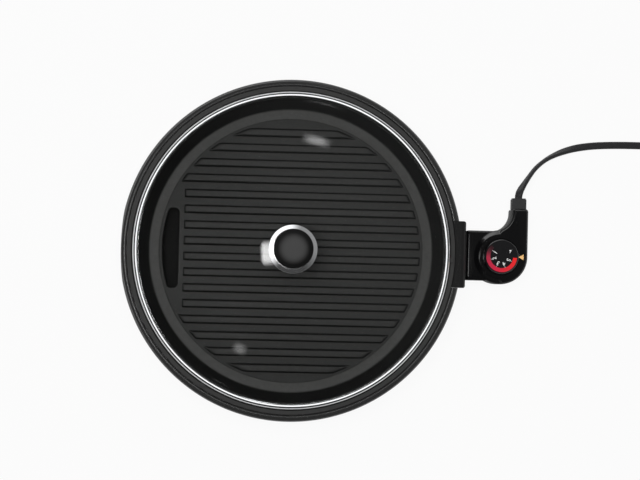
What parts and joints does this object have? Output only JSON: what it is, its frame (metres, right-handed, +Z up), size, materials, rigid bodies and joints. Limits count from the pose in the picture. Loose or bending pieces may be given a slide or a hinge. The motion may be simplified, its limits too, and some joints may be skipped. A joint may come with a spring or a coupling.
{
  "type": "electric indoor grill with lid",
  "caption": "Round countertop electric grill: ribbed non-stick plate in a cool-touch base, lift-off domed glass lid, drip tray, plug-in temperature control with dial and cord.",
  "frame": {"origin": "bottom centre of the bounding box of the grill with its temperature control plugged in, measured without the cord; the grill's own axis is at X -37.25 mm", "axes": "+Z up; +X from the drip tray to the temperature control; +Y to the back"},
  "size_m": [0.6738, 0.356, 0.1483],
  "materials": {
    "base_plastic": "smooth black phenolic, gloss",
    "foot_rubber": "matt",
    "reflector_sheet": "bright sheet",
    "screw_steel": "zinc plated",
    "tray_plastic": "smooth black, gloss",
    "nonstick_aluminium": "cast, dark grey non-stick coating, satin",
    "element_steel": "dull sheathed tube",
    "pin_steel": "nickel plated",
    "ceramic": "ceramic, cream",
    "sheet_steel": "zinc-plated sheet",
    "guard_plastic": "smooth black, gloss",
    "lid_glass": "clear tempered glass",
    "band_steel": "polished stainless steel",
    "knob_plastic": "black phenolic, satin gloss",
    "collar_steel": "brushed stainless steel",
    "brass": "bare",
    "silicone": "grey silicone rubber",
    "control_plastic": "black phenolic, high gloss",
    "block_plastic": "dark phenolic",
    "rod_steel": "bright stainless steel",
    "bimetal": "bare strip",
    "lamp_glass": "neon lamp",
    "amber_lens": "translucent amber",
    "relief_rubber": "grey-black flexible PVC, matt",
    "dial_plastic": "black, satin",
    "dial_print": "printed face with a red heat band",
    "cord_rubber": "grey-black flexible PVC, satin",
    "plug_plastic": "grey-black flexible PVC, satin"
  },
  "bodies": {
    "base": {"base_shell": "base_plastic", "rubber_feet": "foot_rubber", "heat_reflector": "reflector_sheet", "reflector_screws": "screw_steel"},
    "tray": {"drip_tray": "tray_plastic"},
    "plate": {"grill_plate": "nonstick_aluminium", "heating_element": "element_steel", "terminal_pins": "pin_steel", "pin_insulators": "ceramic", "terminal_bracket": "sheet_steel", "bracket_screws": "screw_steel", "sensor_sleeve": "pin_steel", "socket_guard": "guard_plastic", "guard_screws": "screw_steel"},
    "lid": {"lid_glass": "lid_glass", "lid_band": "band_steel", "knob_cap": "knob_plastic", "knob_collar": "collar_steel", "knob_insert": "brass", "knob_screw": "screw_steel", "knob_gasket": "silicone", "knob_washer": "screw_steel"},
    "control": {"control_top": "control_plastic", "control_bottom": "control_plastic", "contact_block": "block_plastic", "contact_sockets": "brass", "sensor_rod": "rod_steel", "thermostat_frame": "sheet_steel", "blade_stack": "ceramic", "contact_blades": "brass", "bimetal_strip": "bimetal", "pilot_lamp": "lamp_glass", "pilot_lens": "amber_lens", "inner_leads": "cord_rubber", "control_screws": "screw_steel", "strain_relief": "relief_rubber", "power_cord": "cord_rubber", "cord_coil": "cord_rubber", "cord_tail": "cord_rubber", "plug_body": "plug_plastic", "plug_blades": "brass"},
    "dial": {"dial": "dial_plastic", "dial_face": "dial_print", "control_shaft": "pin_steel"}
  },
  "joints": [
    {"name": "tray_slide", "type": "slide", "parent": "base", "child": "tray", "axis": [-1, 0, 0], "range_m": [0, 0.09]},
    {"name": "plate_lift", "type": "slide", "parent": "base", "child": "plate", "axis": [0, 0, 1], "range_m": [0, 0.1]},
    {"name": "lid_lift", "type": "slide", "parent": "plate", "child": "lid", "axis": [0, 0, 1], "range_m": [0, 0.1]},
    {"name": "control_pull", "type": "slide", "parent": "plate", "child": "control", "axis": [1, 0, 0], "range_m": [0, 0.07]},
    {"name": "dial_turn", "type": "hinge", "parent": "control", "child": "dial", "pos_m": [0.18455, -0.0008, 0.05], "axis": [0, 0, 1], "range_deg": [-270, 0]}
  ]
}
